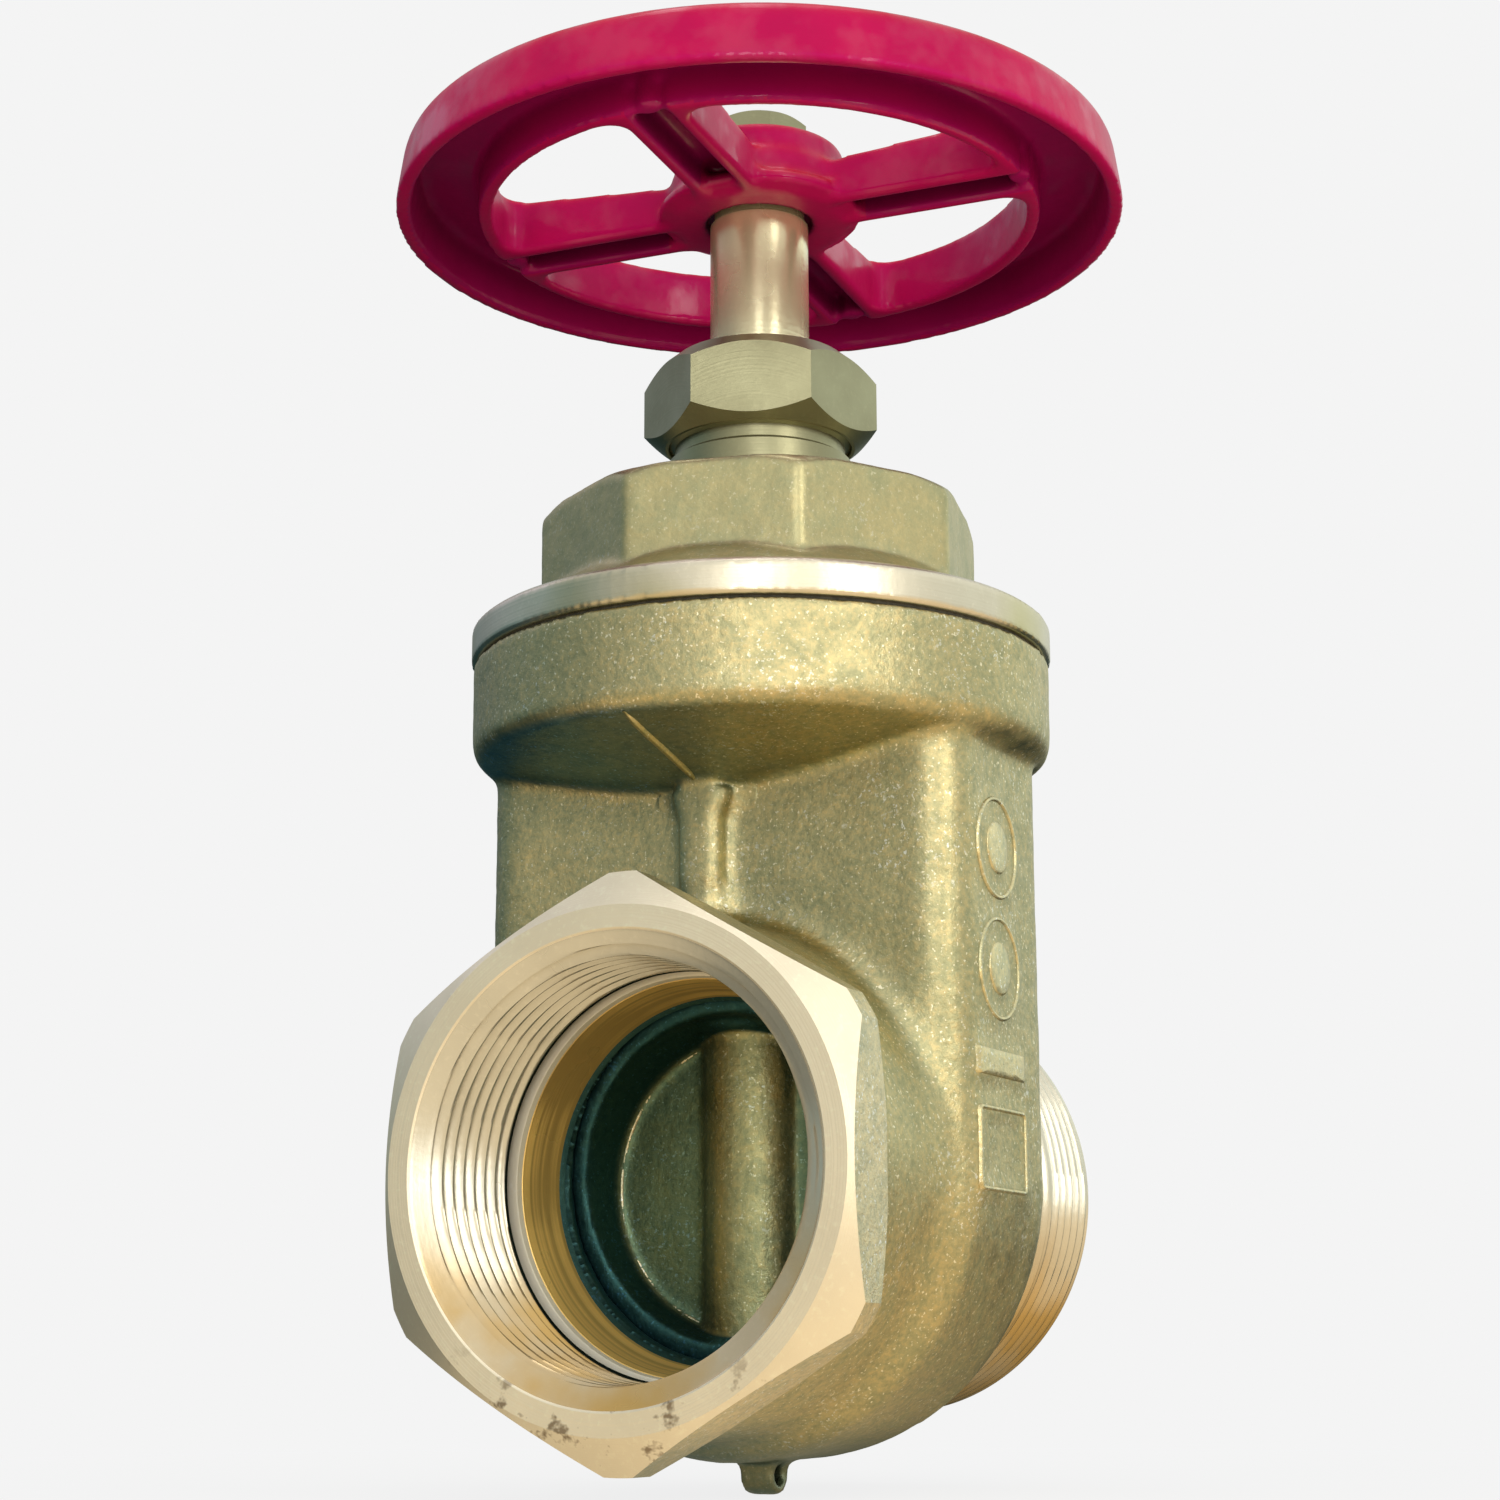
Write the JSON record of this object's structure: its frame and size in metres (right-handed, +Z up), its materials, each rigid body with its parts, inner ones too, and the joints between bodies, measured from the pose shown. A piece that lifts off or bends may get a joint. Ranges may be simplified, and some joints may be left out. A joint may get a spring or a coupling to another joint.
{
  "type": "gate valve",
  "caption": "Brass gate valve with a non-rising stem, a red handwheel, a hexagonal female threaded inlet and a male hose-thread outlet.",
  "frame": {"origin": "on the stem's axis, level with the lowest point of the chain lug, which is 51.7 mm below the pipe's axis", "axes": "+Z up along the stem towards the handwheel, -Y out of the female inlet, +Y out of the male hose thread, +X towards the side with the cast marks"},
  "size_m": [0.1354, 0.1354, 0.2503],
  "materials": {
    "cast_brass": "sand cast, dull",
    "machined_brass": "turned, satin",
    "polished_brass": "polished",
    "red_enamel": "glossy enamel",
    "fibre_gasket": "pressed fibre, dull",
    "graphite_packing": "braided graphite, dull",
    "white_bearing": "smooth"
  },
  "bodies": {
    "housing": {"valve_body": "cast_brass", "bonnet": "cast_brass", "stuffing_box": "machined_brass", "packing_nut": "machined_brass", "bonnet_gasket": "fibre_gasket", "stuffing_box_gasket": "fibre_gasket", "packing_washer": "machined_brass", "packing_ring_lower": "graphite_packing", "packing_ring_middle": "graphite_packing", "packing_ring_upper": "graphite_packing", "packing_gland": "machined_brass", "lower_thrust_washer": "white_bearing", "upper_thrust_washer": "white_bearing"},
    "spindle": {"stem": "polished_brass", "handwheel": "red_enamel", "handwheel_washer": "machined_brass", "handwheel_nut": "machined_brass"},
    "gate": {"wedge": "cast_brass"}
  },
  "joints": [
    {"name": "handwheel_turn", "type": "hinge", "parent": "housing", "child": "spindle", "pos_m": [0, 0, 0], "axis": [0, 0, 1], "range_deg": [0, 4680]},
    {"name": "wedge_lift", "type": "slide", "parent": "housing", "child": "gate", "axis": [0, 0, 1], "range_m": [0, 0.065]}
  ],
  "couplings": [
    {"joint": "wedge_lift", "follows": "handwheel_turn", "m_per_rad": 0.00079577}
  ]
}
